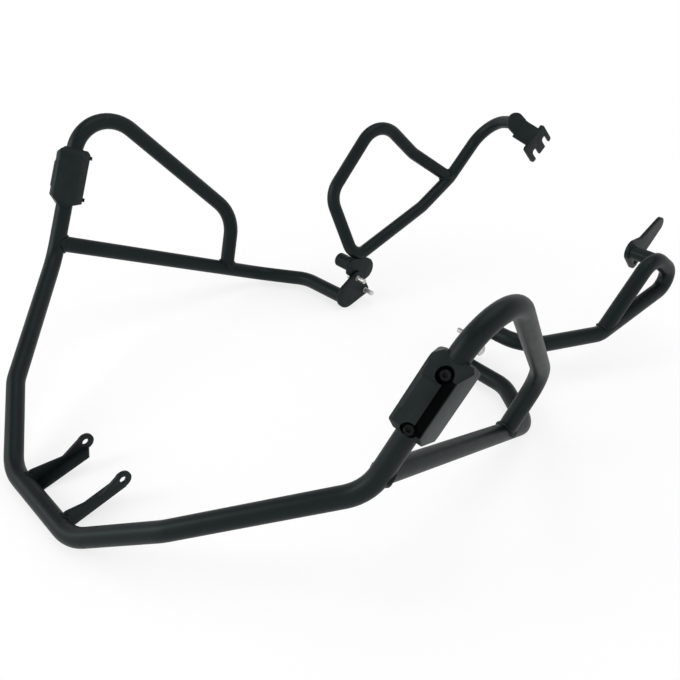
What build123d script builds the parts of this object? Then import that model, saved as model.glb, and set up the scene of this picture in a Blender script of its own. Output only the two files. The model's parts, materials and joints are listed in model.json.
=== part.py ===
"""Motorcycle crash bars: a tubular front hoop on two cross tubes, with a rear bar bolted to each side.

Millimetres, +Z up, X across the machine, +Y to the rear, floor at Z = 0.
The bars stand as they rest on a flat floor: front tube and the feet of the flange plates touch it.
"""

import os
from math import cos, radians, sin

from build123d import *

# Tube stock
MAIN_OD = 25.0
MAIN_WALL = 2.0
LIGHT_OD = 22.0
LIGHT_WALL = 2.0
MAIN_R = MAIN_OD / 2
LIGHT_R = LIGHT_OD / 2
WELD_GAP = 0.05

# Main sizes: half width at the arch, and lengths back from the front tube
ARCH_SPREAD = 409.0
FLANGE_AT = 650.0
LEFT_REACH = 1001.0
RIGHT_REACH = 991.0

# Front hoop, right half: corners of the bent centre line
FRONT_HALF = 80.0
SHIN = Vector(190.5, 62.0, 67.0)
KNEE = Vector(ARCH_SPREAD - 54.5, 211.5, 147.0)
ARCH = Vector(ARCH_SPREAD, 330.0, 374.0)
HEEL = Vector(ARCH_SPREAD - 73.5, 540.5, 135.5)
HOOP_BEND = 65.0
ARCH_BEND = 60.0

# Cross tube, right side: leaves the hoop above the knee and ends on the flange plate
CROSS_ABOVE_KNEE = 24.0
ELBOW = Vector(305.0, 576.0, 17.0)
WRIST = Vector(229.0, FLANGE_AT - 25.5, 19.0)
CROSS_BEND = 60.0
FOOT_ALONG = 311.5

# Flange joint: front plate inside, rear plate outside, two bolts through both
PLATE_T = 5.0
PLATE_IN = 126.0
CROSS_END = (FLANGE_AT - 19.0, 17.0)
BOLT_UPPER = (FLANGE_AT + 6.0, 50.5)
BOLT_LOWER = (FLANGE_AT + 26.0, 20.0)
LEFT_AXIS = (FLANGE_AT + 1.5, 73.5)
RIGHT_AXIS = (FLANGE_AT + 21.0, 67.5)
FOOT_LOBE = (FLANGE_AT - 16.0, 24.0)
FOOT_LOBE_R = 24.0
UPPER_LOBE_R = 12.5
LOWER_LOBE_R = 10.5
FRONT_LOBE_R = 8.5
TUBE_LOBE_R = 13.5
LEFT_TOP = (FLANGE_AT + 28.0, 59.5)
LEFT_TOP_R = 21.0
LEFT_SHOULDER = (FLANGE_AT - 6.5, 66.0)
LEFT_SHOULDER_R = 8.0
BOLT_D = 10.0
BOLT_CLEAR = 1.0
BOLT_AF = 17.0
BOLT_HEAD = 6.4
BOLT_TIP = 108.0
THREAD_D = 9.2
BOLT_TIP_CHAMFER = 1.0
WASHER_OD = 20.0
WASHER_T = 2.0

# Front tabs: folded plates welded behind the front tube, rising to the rear
TAB_X = 49.0
TAB_T = 4.0
TAB_Z = 9.5
TAB_RISE = 14.27
EYE_ALONG = 90.5
EYE_R = 11.5
EYE_HOLE = 9.0
TAB_DROP = 12.5
TAB_WAIST = (57.0, 0.7)
TAB_SHOULDER = (16.0, 13.0)
FOLD_W = 19.0
FOLD_START = 12.5
FOLD_CUT = 8.0

# Left rear bar in the light tube, on a capped stub of the main tube
STUB_END = 167.0
CAP_T = 3.0
CAP_EDGE = 1.5
LEFT_X = -138.0
LEFT_LONG = LEFT_REACH - FLANGE_AT
LEFT_APEX = Vector(LEFT_X, FLANGE_AT + 7.5, 83.8)
LEFT_APEX_BEND = 22.0
LEFT_SPLIT = 0.45
LEFT_RISE = Vector(LEFT_X, FLANGE_AT + 0.5085 * LEFT_LONG, 137.0)
LEFT_JOIN = Vector(LEFT_X, FLANGE_AT + 0.7165 * LEFT_LONG, 175.5)
LEFT_TURN = Vector(LEFT_X, LEFT_REACH, 263.5)
LEFT_END = LEFT_TURN + Vector(79.0, -27.0, 22.0)
LEFT_BEND = 50.0
LOOP_LOW = Vector(-189.0, FLANGE_AT - 5.0, 191.0)
LOOP_TOP = Vector(-190.0, FLANGE_AT + 0.3034 * LEFT_LONG, 306.0)
LOOP_BACK = Vector(-169.0, FLANGE_AT + 0.5085 * LEFT_LONG, 231.0)
LOOP_BEND = 47.0

# Left fork bracket: a pad across the tube end, a body and a forked lip
FORK_T = 5.0
FORK_PAD_R = 17.0
FORK_FACE = Vector(0.45, -0.625, 0.64)
FORK_REACH = 14.0
FORK_BODY_L = 33.0
FORK_BODY_W = 37.0
FORK_BODY_SHIFT = -3.0
FORK_LIP_L = 41.0
FORK_LIP_W = 57.0
FORK_LIP_SHIFT = -2.5
FORK_LIP_BEND = 58.0
FORK_LIP_CORNER = 5.0
FORK_SLOT_W = 11.4
FORK_SLOT_L = 14.0
FORK_SLOT_PITCH = 28.4
FORK_SLOT_SHIFT = -1.0

# Right rear bar in the main tube
RIGHT_BEND_X = 225.0
RIGHT_RUN = Vector(272.0, RIGHT_REACH - 190.5, 61.0)
RIGHT_FAR = Vector(290.0, RIGHT_REACH, 105.0)
RIGHT_TOP = Vector(282.5, RIGHT_REACH - 88.0, 167.0)
RIGHT_BEND = 58.0
RIGHT_RUN_BEND = 45.0
RIGHT_FAR_BEND = 24.0
RIGHT_TOP_BEND = 34.0
RIGHT_JOINT = 0.7
RIGHT_FOOT = 0.04

# Right end bracket: a flat plate across a short stub that points inward
END_PLATE_T = 6.0
END_PLATE_X = 227.0
END_STUB_DIR = Vector(-1.0, 0.0, 0.0)
END_LOBE = (4.0, 0.5)
END_LOBE_R = 17.0
END_KNUCKLE = (30.0, 4.0)
END_KNUCKLE_R = 12.0
END_EAR = (79.5, 25.0)
END_EAR_R = 12.5
END_HOLE_AT = (21.0, -24.5)
END_HOLE_LOBE_R = 12.0
END_HOLE = 9.0

# Sliders: two-part plastic blocks clamped round the hoop below the arch
SLIDER_ALONG = 126.5
SLIDER_FACE = Vector(0.415, -0.845, 0.339)
SLIDER_L = 92.0
SLIDER_W = 48.8
SLIDER_OUT = 1.75
SLIDER_FRONT = 24.0
SLIDER_BACK = 24.0
SLIDER_CORNER = 8.0
SLIDER_BEVEL = 3.5
SLIDER_TOP_SLOPE = 16.0
SLIDER_FOOT_SLOPE = 9.0
SLIDER_SIDE_FROM = 14.5
SLIDER_SIDE_LOW = 4.0
SLIDER_BACK_BEVEL = 5.0
SLIDER_BACK_SLOPE = 10.0
SLIDER_BACK_SIDE = 11.0
SLIDER_PAD_W = 20.0
SLIDER_PAD_L = 42.0
SLIDER_PAD_H = 2.0
SLIDER_PAD_AT = (-9.5, -1.5)
SLIDER_PAD_SLOPE = 50.0
CHANNEL_W = 10.7
CHANNEL_DEPTH = 7.0
CHANNEL_AT = 8.0
SLIDER_FIT = 0.05
SCREW_D = 6.0
SCREW_FIT = 0.4
SCREW_AT = 33.0
SCREW_SHIFT = -4.5
SCREW_HEAD_D = 11.0
SCREW_HEAD_H = 6.0
SCREW_SOCKET = 5.0
SCREW_SOCKET_DEPTH = 3.0
SCREW_RECESS_D = 18.0
SCREW_RECESS = 10.0
SCREW_TAIL = 4.0
NUT_AF = 10.0
NUT_H = 5.0


def unit(v):
    """The direction of a vector."""
    return v.normalized()


def across(v):
    """The same point on the left side."""
    return Vector(-v.X, v.Y, v.Z)


def start_plane(path):
    """The plane square to a path at its start."""
    return Plane(origin=path @ 0, z_dir=path % 0)


# Derived places, right side
front_end = Vector(FRONT_HALF, 0, MAIN_R)
leg_dir = unit(ARCH - KNEE)
cross_top = KNEE + leg_dir * CROSS_ABOVE_KNEE
cross_dir = unit(ELBOW - cross_top)
foot = cross_top + cross_dir * FOOT_ALONG
plate_mid = PLATE_IN + PLATE_T
plate_out = PLATE_IN + 2 * PLATE_T
cross_end = Vector(plate_mid + WELD_GAP, *CROSS_END)
hoop_right = [front_end, SHIN, KNEE, ARCH, HEEL, foot]
hoop_left = [across(p) for p in reversed(hoop_right)]
hoop_bends = [HOOP_BEND, HOOP_BEND, HOOP_BEND, ARCH_BEND, ARCH_BEND]

# Slider frames: local x outward, local z out of the screw face. The left block is the right one turned over
slider_mid = KNEE + leg_dir * SLIDER_ALONG
slider_n = unit(SLIDER_FACE - leg_dir * SLIDER_FACE.dot(leg_dir))
slider_x = leg_dir.cross(slider_n)
slider_planes = {
    "right": Plane(origin=slider_mid, x_dir=slider_x, z_dir=slider_n),
    "left": Plane(origin=across(slider_mid), x_dir=across(slider_x), z_dir=across(slider_n)),
}
screw_spots = [(0, SCREW_SHIFT + SCREW_AT), (0, SCREW_SHIFT - SCREW_AT)]
screw_hole_r = (SCREW_D + SCREW_FIT) / 2
head_seat = SLIDER_FRONT - SCREW_RECESS

# Front hoop: one bent tube, coped on both cross tubes and drilled for the slider screws
with BuildPart() as main_hoop:
    with BuildLine() as hoop_path:
        FilletPolyline(*hoop_left, *hoop_right, radius=hoop_bends[::-1] + hoop_bends)
    with BuildSketch(start_plane(hoop_path.line)):
        Circle(MAIN_R)
        Circle(MAIN_R - MAIN_WALL, mode=Mode.SUBTRACT)
    sweep()
    for side in (1, -1):
        joint = Vector(side * foot.X, foot.Y, foot.Z)
        axis = Vector(side * cross_dir.X, cross_dir.Y, cross_dir.Z)
        with Locations(Plane(origin=joint, z_dir=axis)):
            Cylinder(MAIN_R + WELD_GAP, 4 * MAIN_OD, mode=Mode.SUBTRACT)
    for plane in slider_planes.values():
        with BuildSketch(plane):
            with Locations(screw_spots):
                Circle(screw_hole_r)
        extrude(amount=MAIN_OD, both=True, mode=Mode.SUBTRACT)

# Cross tubes: from the hoop's leg, past the hoop's foot, to the flange plate
with BuildPart() as knee_cutter:
    with BuildLine() as knee_path:
        FilletPolyline(SHIN, KNEE, ARCH, radius=HOOP_BEND)
    with BuildSketch(start_plane(knee_path.line)):
        Circle(MAIN_R + WELD_GAP)
    sweep()

with BuildPart() as cross_tube_right:
    with BuildLine() as cross_path:
        FilletPolyline(cross_top, ELBOW, WRIST, cross_end, radius=CROSS_BEND)
    with BuildSketch(start_plane(cross_path.line)):
        Circle(MAIN_R)
        Circle(MAIN_R - MAIN_WALL, mode=Mode.SUBTRACT)
    sweep()
    add(knee_cutter.part, mode=Mode.SUBTRACT)
    with Locations((plate_mid + WELD_GAP - MAIN_OD, *CROSS_END)):
        Box(2 * MAIN_OD, 2 * MAIN_OD, 2 * MAIN_OD, mode=Mode.SUBTRACT)

with BuildPart() as cross_tube_left:
    add(cross_tube_right.part)
    mirror(about=Plane.YZ, mode=Mode.REPLACE)

# Front tabs: an upright plate with an eye, and a lip folded inward along its lower edge
rise = radians(TAB_RISE)
tab_plane = Plane(
    origin=(TAB_X - TAB_T / 2, 0, TAB_Z),
    x_dir=(0, cos(rise), sin(rise)),
    z_dir=(1, 0, 0),
)
fold_plane = Plane(
    origin=(TAB_X + TAB_T / 2, 0, TAB_Z),
    x_dir=(-1, 0, 0),
    z_dir=(0, -sin(rise), cos(rise)),
)
with BuildPart() as front_tab_right:
    with BuildSketch(tab_plane):
        with BuildLine():
            Polyline(
                (0, 0),
                (MAIN_R, -TAB_DROP),
                (EYE_ALONG, -TAB_DROP),
                (EYE_ALONG, EYE_R),
                TAB_WAIST,
                TAB_SHOULDER,
                (0, MAIN_R),
                close=True,
            )
        make_face()
        with Locations((EYE_ALONG, 0)):
            Circle(EYE_R)
            Circle(EYE_HOLE / 2, mode=Mode.SUBTRACT)
    extrude(amount=TAB_T)
    with BuildSketch(fold_plane.offset(-TAB_DROP)):
        with BuildLine():
            Polyline(
                (0, -FOLD_START),
                (FOLD_W, -FOLD_START),
                (FOLD_W, FOLD_CUT - EYE_ALONG),
                (TAB_T, -EYE_ALONG),
                (0, -EYE_ALONG),
                close=True,
            )
        make_face()
    extrude(amount=TAB_T)
    with Locations(Plane(origin=(0, 0, MAIN_R), z_dir=(1, 0, 0))):
        Cylinder(MAIN_R + WELD_GAP, 4 * TAB_X, mode=Mode.SUBTRACT)

with BuildPart() as front_tab_left:
    add(front_tab_right.part)
    mirror(about=Plane.YZ, mode=Mode.REPLACE)

# Flange plates: hulls of round lobes, drilled for the two bolts
bolt_hole_r = (BOLT_D + BOLT_CLEAR) / 2
with BuildPart() as front_plate_right:
    with BuildSketch(Plane(origin=(PLATE_IN, 0, 0), x_dir=(0, 1, 0), z_dir=(1, 0, 0))):
        with Locations(FOOT_LOBE):
            Circle(FOOT_LOBE_R)
        with Locations(BOLT_UPPER):
            Circle(UPPER_LOBE_R)
        with Locations(BOLT_LOWER):
            Circle(FRONT_LOBE_R)
        make_hull()
        with Locations(BOLT_UPPER, BOLT_LOWER):
            Circle(bolt_hole_r, mode=Mode.SUBTRACT)
    extrude(amount=PLATE_T)

with BuildPart() as front_plate_left:
    add(front_plate_right.part)
    mirror(about=Plane.YZ, mode=Mode.REPLACE)

with BuildPart() as rear_plate_right:
    with BuildSketch(Plane(origin=(plate_mid, 0, 0), x_dir=(0, 1, 0), z_dir=(1, 0, 0))):
        with Locations(RIGHT_AXIS):
            Circle(TUBE_LOBE_R)
        with Locations(BOLT_UPPER):
            Circle(UPPER_LOBE_R)
        with Locations(BOLT_LOWER):
            Circle(LOWER_LOBE_R)
        make_hull()
        with Locations(BOLT_UPPER, BOLT_LOWER):
            Circle(bolt_hole_r, mode=Mode.SUBTRACT)
    extrude(amount=PLATE_T)

left_plane = Plane(origin=(-plate_out, 0, 0), x_dir=(0, 1, 0), z_dir=(1, 0, 0))
with BuildPart() as rear_plate_left:
    with BuildSketch(left_plane):
        with Locations(BOLT_UPPER):
            Circle(UPPER_LOBE_R)
        with Locations(BOLT_LOWER):
            Circle(LOWER_LOBE_R)
        make_hull()
    extrude(amount=PLATE_T)
    with BuildSketch(left_plane):
        with Locations(LEFT_AXIS):
            Circle(TUBE_LOBE_R)
        with Locations(LEFT_TOP):
            Circle(LEFT_TOP_R)
        with Locations(LEFT_SHOULDER):
            Circle(LEFT_SHOULDER_R)
        make_hull()
    extrude(amount=PLATE_T)
    with BuildSketch(left_plane):
        with Locations(BOLT_UPPER, BOLT_LOWER):
            Circle(bolt_hole_r)
    extrude(amount=PLATE_T, mode=Mode.SUBTRACT)

# Flange bolts and washers: heads outside, threads pointing at the machine
with BuildPart() as flange_washers_right:
    with BuildSketch(Plane(origin=(plate_out, 0, 0), x_dir=(0, 1, 0), z_dir=(1, 0, 0))):
        with Locations(BOLT_UPPER, BOLT_LOWER):
            Circle(WASHER_OD / 2)
            Circle(bolt_hole_r, mode=Mode.SUBTRACT)
    extrude(amount=WASHER_T)

with BuildPart() as flange_washers_left:
    add(flange_washers_right.part)
    mirror(about=Plane.YZ, mode=Mode.REPLACE)

head_x = plate_out + WASHER_T
with BuildPart() as flange_bolts_right:
    with BuildSketch(Plane(origin=(head_x, 0, 0), x_dir=(0, 1, 0), z_dir=(1, 0, 0))):
        with Locations(BOLT_UPPER, BOLT_LOWER):
            RegularPolygon(BOLT_AF / 2, 6, major_radius=False)
    extrude(amount=BOLT_HEAD)
    with BuildSketch(Plane(origin=(BOLT_TIP, 0, 0), x_dir=(0, 1, 0), z_dir=(1, 0, 0))):
        with Locations(BOLT_UPPER, BOLT_LOWER):
            Circle(BOLT_D / 2)
    extrude(amount=head_x - BOLT_TIP)
    with BuildSketch(Plane(origin=(BOLT_TIP, 0, 0), x_dir=(0, 1, 0), z_dir=(1, 0, 0))):
        with Locations(BOLT_UPPER, BOLT_LOWER):
            Circle(BOLT_D)
            Circle(THREAD_D / 2, mode=Mode.SUBTRACT)
    extrude(amount=PLATE_IN - BOLT_TIP, mode=Mode.SUBTRACT)
    tips = flange_bolts_right.faces().filter_by(Axis.X).group_by(Axis.X)[0].edges()
    chamfer(tips, BOLT_TIP_CHAMFER)

with BuildPart() as flange_bolts_left:
    add(flange_bolts_right.part)
    mirror(about=Plane.YZ, mode=Mode.REPLACE)

# Left stub and its cap
with BuildPart() as stub_left:
    with BuildSketch(left_plane):
        with Locations(LEFT_AXIS):
            Circle(MAIN_R)
            Circle(MAIN_R - MAIN_WALL, mode=Mode.SUBTRACT)
    extrude(amount=-(STUB_END - plate_out))

with BuildPart() as stub_cap_left:
    with BuildSketch(Plane(origin=(-STUB_END, 0, 0), x_dir=(0, 1, 0), z_dir=(1, 0, 0))):
        with Locations(LEFT_AXIS):
            Circle(MAIN_R)
    extrude(amount=-CAP_T)
    chamfer(stub_cap_left.faces().sort_by(Axis.X)[0].edges(), CAP_EDGE)

# Left rear tube: half of the first loop leg, the V bend on the plate, then up to the fork bracket
left_split = LEFT_APEX + (LOOP_LOW - LEFT_APEX) * LEFT_SPLIT
end_dir = unit(LEFT_END - LEFT_TURN)
with BuildPart() as rear_tube_left:
    with BuildLine() as left_path:
        FilletPolyline(
            left_split,
            LEFT_APEX,
            LEFT_RISE,
            LEFT_JOIN,
            LEFT_TURN,
            LEFT_END,
            radius=[LEFT_APEX_BEND, LEFT_BEND, LEFT_BEND, LEFT_BEND],
        )
    with BuildSketch(start_plane(left_path.line)):
        Circle(LIGHT_R)
        Circle(LIGHT_R - LIGHT_WALL, mode=Mode.SUBTRACT)
    sweep()
    with Locations(Plane(origin=(-plate_out, *LEFT_AXIS), z_dir=(-1, 0, 0))):
        Cylinder(MAIN_R + WELD_GAP, 4 * MAIN_OD, mode=Mode.SUBTRACT)
    add(rear_plate_left.part.moved(Location((0, 0, WELD_GAP))), mode=Mode.SUBTRACT)

with BuildPart() as left_cutter:
    with BuildLine() as left_cut_path:
        FilletPolyline(LEFT_RISE, LEFT_JOIN, LEFT_TURN, radius=LEFT_BEND)
    with BuildSketch(start_plane(left_cut_path.line)):
        Circle(LIGHT_R + WELD_GAP)
    sweep()

# Left loop: from the first leg over the top and back to the rear tube
with BuildPart() as loop_tube_left:
    with BuildLine() as loop_path:
        FilletPolyline(left_split, LOOP_LOW, LOOP_TOP, LOOP_BACK, LEFT_JOIN, radius=LOOP_BEND)
    with BuildSketch(start_plane(loop_path.line)):
        Circle(LIGHT_R)
        Circle(LIGHT_R - LIGHT_WALL, mode=Mode.SUBTRACT)
    sweep()
    add(left_cutter.part, mode=Mode.SUBTRACT)

# Left fork bracket
fork_fold = unit(FORK_FACE.cross(end_dir))
fork_n = unit(FORK_FACE - fork_fold * FORK_FACE.dot(fork_fold))
fork_out = unit(fork_fold.cross(fork_n))
fork_drop = unit(fork_fold.cross(end_dir))
pad_plane = Plane(origin=LEFT_END, x_dir=fork_drop, z_dir=end_dir)
body_at = LEFT_END + fork_drop * FORK_REACH
body_plane = Plane(origin=body_at, x_dir=fork_out, z_dir=fork_n)
lip = radians(FORK_LIP_BEND)
lip_out = fork_out * cos(lip) - fork_n * sin(lip)
lip_n = fork_n * cos(lip) + fork_out * sin(lip)
lip_at = body_at + fork_out * FORK_BODY_L + fork_n * FORK_T
lip_plane = Plane(origin=lip_at, x_dir=lip_out, z_dir=lip_n)
with BuildPart() as fork_bracket_left:
    with BuildSketch(pad_plane):
        Circle(FORK_PAD_R)
        with Locations((FORK_REACH / 2, 0)):
            Rectangle(FORK_REACH, 2 * FORK_PAD_R)
    extrude(amount=FORK_T)
    with BuildSketch(body_plane):
        with Locations((FORK_BODY_L / 2, FORK_BODY_SHIFT)):
            Rectangle(FORK_BODY_L, FORK_BODY_W)
    extrude(amount=FORK_T)
    with BuildSketch(lip_plane):
        with Locations((FORK_LIP_L / 2, FORK_LIP_SHIFT)):
            RectangleRounded(FORK_LIP_L, FORK_LIP_W, FORK_LIP_CORNER)
        for spot in (FORK_SLOT_PITCH / 2, -FORK_SLOT_PITCH / 2):
            with Locations((FORK_LIP_L - FORK_SLOT_L / 2, FORK_SLOT_SHIFT + spot)):
                Rectangle(FORK_SLOT_L, FORK_SLOT_W, mode=Mode.SUBTRACT)
            with Locations((FORK_LIP_L - FORK_SLOT_L, FORK_SLOT_SHIFT + spot)):
                Circle(FORK_SLOT_W / 2, mode=Mode.SUBTRACT)
    extrude(amount=-FORK_T)

# Right rear tube: flange plate, bend, run, far corner, half of the back leg
back_joint = RIGHT_FAR + (RIGHT_TOP - RIGHT_FAR) * RIGHT_JOINT
right_start = Vector(plate_out, *RIGHT_AXIS)
right_turn = Vector(RIGHT_BEND_X, *RIGHT_AXIS)
with BuildPart() as rear_tube_right:
    with BuildLine() as right_path:
        FilletPolyline(
            right_start,
            right_turn,
            RIGHT_RUN,
            RIGHT_FAR,
            back_joint,
            radius=[RIGHT_BEND, RIGHT_RUN_BEND, RIGHT_FAR_BEND],
        )
    with BuildSketch(start_plane(right_path.line)):
        Circle(MAIN_R)
        Circle(MAIN_R - MAIN_WALL, mode=Mode.SUBTRACT)
    sweep()

with BuildPart() as right_cutter:
    with BuildLine() as right_cut_path:
        FilletPolyline(right_turn, RIGHT_RUN, RIGHT_FAR, radius=RIGHT_RUN_BEND)
    with BuildSketch(start_plane(right_cut_path.line)):
        Circle(MAIN_R + WELD_GAP)
    sweep()

# Right loop: from the run up to the top corner and back to the joint
right_foot = RIGHT_RUN + (RIGHT_FAR - RIGHT_RUN) * RIGHT_FOOT
with BuildPart() as loop_tube_right:
    with BuildLine() as right_loop_path:
        FilletPolyline(right_foot, RIGHT_TOP, back_joint, radius=RIGHT_TOP_BEND)
    with BuildSketch(start_plane(right_loop_path.line)):
        Circle(MAIN_R)
        Circle(MAIN_R - MAIN_WALL, mode=Mode.SUBTRACT)
    sweep()
    add(right_cutter.part, mode=Mode.SUBTRACT)

# Right end stub and its plate
stub_dir = unit(END_STUB_DIR)
stub_reach = (back_joint.X - END_PLATE_X - END_PLATE_T) / -stub_dir.X
stub_tip = back_joint + stub_dir * stub_reach
with BuildPart() as back_cutter:
    with BuildLine() as back_cut_path:
        FilletPolyline(right_foot, RIGHT_TOP, RIGHT_FAR, radius=RIGHT_TOP_BEND)
    with BuildSketch(start_plane(back_cut_path.line)):
        Circle(MAIN_R + WELD_GAP)
    sweep()

with BuildPart() as end_stub_right:
    with BuildSketch(Plane(origin=back_joint, z_dir=stub_dir)):
        Circle(LIGHT_R)
        Circle(LIGHT_R - LIGHT_WALL, mode=Mode.SUBTRACT)
    extrude(amount=stub_reach + LIGHT_OD)
    add(back_cutter.part, mode=Mode.SUBTRACT)
    with Locations((END_PLATE_X + END_PLATE_T - MAIN_OD, stub_tip.Y, stub_tip.Z)):
        Box(2 * MAIN_OD, 4 * MAIN_OD, 4 * MAIN_OD, mode=Mode.SUBTRACT)

end_plane = Plane(origin=(END_PLATE_X, stub_tip.Y, stub_tip.Z), x_dir=(0, 1, 0), z_dir=(1, 0, 0))
with BuildPart() as end_bracket_right:
    with BuildSketch(end_plane):
        with Locations(END_LOBE):
            Circle(END_LOBE_R)
        with Locations(END_KNUCKLE):
            Circle(END_KNUCKLE_R)
        with Locations(END_HOLE_AT):
            Circle(END_HOLE_LOBE_R)
        make_hull()
    extrude(amount=END_PLATE_T)
    with BuildSketch(end_plane):
        with Locations(END_KNUCKLE):
            Circle(END_KNUCKLE_R)
        with Locations(END_EAR):
            Circle(END_EAR_R)
        with Locations(END_HOLE_AT):
            Circle(END_HOLE_LOBE_R)
        make_hull()
    extrude(amount=END_PLATE_T)
    with BuildSketch(end_plane):
        with Locations(END_HOLE_AT):
            Circle(END_HOLE / 2)
    extrude(amount=END_PLATE_T, mode=Mode.SUBTRACT)

# Sliders: a front half with the screw channel, a back half with the nut pockets, two screws and two nuts
slider_nodes = {}
for side, plane in slider_planes.items():
    out_axis = Axis(plane.origin, plane.z_dir)
    up_axis = Axis(plane.origin, plane.y_dir)
    side_axis = Axis(plane.origin, plane.x_dir)

    with BuildPart() as slider_front:
        with BuildSketch(plane):
            with Locations((SLIDER_OUT, 0)):
                Rectangle(SLIDER_W, SLIDER_L)
            chamfer(vertices(), SLIDER_CORNER)
        extrude(amount=SLIDER_FRONT)
        with BuildSketch(Plane(origin=plane.origin, x_dir=plane.x_dir, z_dir=-plane.y_dir)):
            with BuildLine():
                Polyline(
                    (SLIDER_SIDE_FROM, SLIDER_FRONT),
                    (SLIDER_OUT + SLIDER_W / 2, SLIDER_SIDE_LOW),
                    (SLIDER_OUT + SLIDER_W, SLIDER_SIDE_LOW),
                    (SLIDER_OUT + SLIDER_W, SLIDER_FRONT),
                    close=True,
                )
            make_face()
        extrude(amount=SLIDER_L, both=True, mode=Mode.SUBTRACT)
        with BuildSketch(Plane(origin=plane.origin, x_dir=plane.y_dir, z_dir=plane.x_dir)):
            with BuildLine():
                Polyline(
                    (SLIDER_L / 2 - SLIDER_TOP_SLOPE, SLIDER_FRONT),
                    (SLIDER_L / 2, SLIDER_FRONT - SLIDER_TOP_SLOPE),
                    (SLIDER_L, SLIDER_FRONT - SLIDER_TOP_SLOPE),
                    (SLIDER_L, SLIDER_FRONT),
                    close=True,
                )
            make_face()
            with BuildLine():
                Polyline(
                    (SLIDER_FOOT_SLOPE - SLIDER_L / 2, SLIDER_FRONT),
                    (-SLIDER_L / 2, SLIDER_FRONT - SLIDER_FOOT_SLOPE),
                    (-SLIDER_L, SLIDER_FRONT - SLIDER_FOOT_SLOPE),
                    (-SLIDER_L, SLIDER_FRONT),
                    close=True,
                )
            make_face()
        extrude(amount=SLIDER_L, both=True, mode=Mode.SUBTRACT)
        chamfer(slider_front.faces().sort_by(out_axis)[-1].edges().sort_by(side_axis)[0], SLIDER_BEVEL)
        with BuildSketch(plane.offset(SLIDER_FRONT)):
            with Locations(SLIDER_PAD_AT):
                Rectangle(SLIDER_PAD_W, SLIDER_PAD_L)
        extrude(amount=SLIDER_PAD_H, taper=SLIDER_PAD_SLOPE)
        with BuildSketch(plane.offset(SLIDER_FRONT + SLIDER_PAD_H)):
            with Locations((CHANNEL_AT, SCREW_SHIFT)):
                Rectangle(CHANNEL_W, 2 * SCREW_AT)
        extrude(amount=-(CHANNEL_DEPTH + SLIDER_PAD_H), mode=Mode.SUBTRACT)
        with BuildSketch(plane.offset(SLIDER_FRONT + SLIDER_PAD_H)):
            with Locations(screw_spots):
                Circle(SCREW_RECESS_D / 2)
        extrude(amount=-(SCREW_RECESS + SLIDER_PAD_H), mode=Mode.SUBTRACT)
        with BuildSketch(plane):
            with Locations(screw_spots):
                Circle(screw_hole_r)
        extrude(amount=SLIDER_FRONT, mode=Mode.SUBTRACT)
        with Locations(Plane(origin=plane.origin, z_dir=plane.y_dir)):
            Cylinder(MAIN_R + SLIDER_FIT, 2 * SLIDER_L, mode=Mode.SUBTRACT)

    with BuildPart() as slider_back:
        with BuildSketch(plane):
            with Locations((SLIDER_OUT, 0)):
                Rectangle(SLIDER_W, SLIDER_L)
            chamfer(vertices(), SLIDER_CORNER)
        extrude(amount=-SLIDER_BACK)
        with BuildSketch(Plane(origin=plane.origin, x_dir=plane.y_dir, z_dir=plane.x_dir)):
            with BuildLine():
                Polyline(
                    (SLIDER_L / 2, 0),
                    (SLIDER_L / 2 - SLIDER_BACK_SLOPE, -SLIDER_BACK),
                    (SLIDER_L, -SLIDER_BACK),
                    (SLIDER_L, 0),
                    close=True,
                )
            make_face()
        extrude(amount=SLIDER_L, both=True, mode=Mode.SUBTRACT)
        with BuildSketch(Plane(origin=plane.origin, x_dir=plane.x_dir, z_dir=-plane.y_dir)):
            for way in (1, -1):
                edge = SLIDER_OUT + way * SLIDER_W / 2
                with BuildLine():
                    Polyline(
                        (edge, SLIDER_BACK_SIDE - SLIDER_BACK),
                        (edge - way * SLIDER_BACK_SIDE, -SLIDER_BACK),
                        (edge, -SLIDER_BACK),
                        close=True,
                    )
                make_face()
        extrude(amount=SLIDER_L, both=True, mode=Mode.SUBTRACT)
        chamfer(slider_back.faces().sort_by(out_axis)[0].edges().sort_by(up_axis)[0], SLIDER_BACK_BEVEL)
        with BuildSketch(plane.offset(-SLIDER_BACK)):
            with Locations(screw_spots):
                RegularPolygon(NUT_AF / 2 + SLIDER_FIT, 6, major_radius=False)
        extrude(amount=NUT_H, mode=Mode.SUBTRACT)
        with BuildSketch(plane):
            with Locations(screw_spots):
                Circle(screw_hole_r)
        extrude(amount=-SLIDER_BACK, mode=Mode.SUBTRACT)
        with Locations(Plane(origin=plane.origin, z_dir=plane.y_dir)):
            Cylinder(MAIN_R + SLIDER_FIT, 2 * SLIDER_L, mode=Mode.SUBTRACT)

    with BuildPart() as slider_screws:
        with BuildSketch(plane.offset(head_seat)):
            with Locations(screw_spots):
                Circle(SCREW_HEAD_D / 2)
        extrude(amount=SCREW_HEAD_H)
        with BuildSketch(plane.offset(head_seat + SCREW_HEAD_H)):
            with Locations(screw_spots):
                RegularPolygon(SCREW_SOCKET / 2, 6, major_radius=False)
        extrude(amount=-SCREW_SOCKET_DEPTH, mode=Mode.SUBTRACT)
        with BuildSketch(plane.offset(head_seat)):
            with Locations(screw_spots):
                Circle(SCREW_D / 2)
        extrude(amount=-(head_seat + SLIDER_BACK + SCREW_TAIL))

    with BuildPart() as slider_nuts:
        with BuildSketch(plane.offset(-SLIDER_BACK)):
            with Locations(screw_spots):
                RegularPolygon(NUT_AF / 2, 6, major_radius=False)
                Circle(SCREW_D / 2, mode=Mode.SUBTRACT)
        extrude(amount=NUT_H)

    slider_nodes[f"slider_front_{side}"] = slider_front
    slider_nodes[f"slider_back_{side}"] = slider_back
    slider_nodes[f"slider_screws_{side}"] = slider_screws
    slider_nodes[f"slider_nuts_{side}"] = slider_nuts

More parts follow.
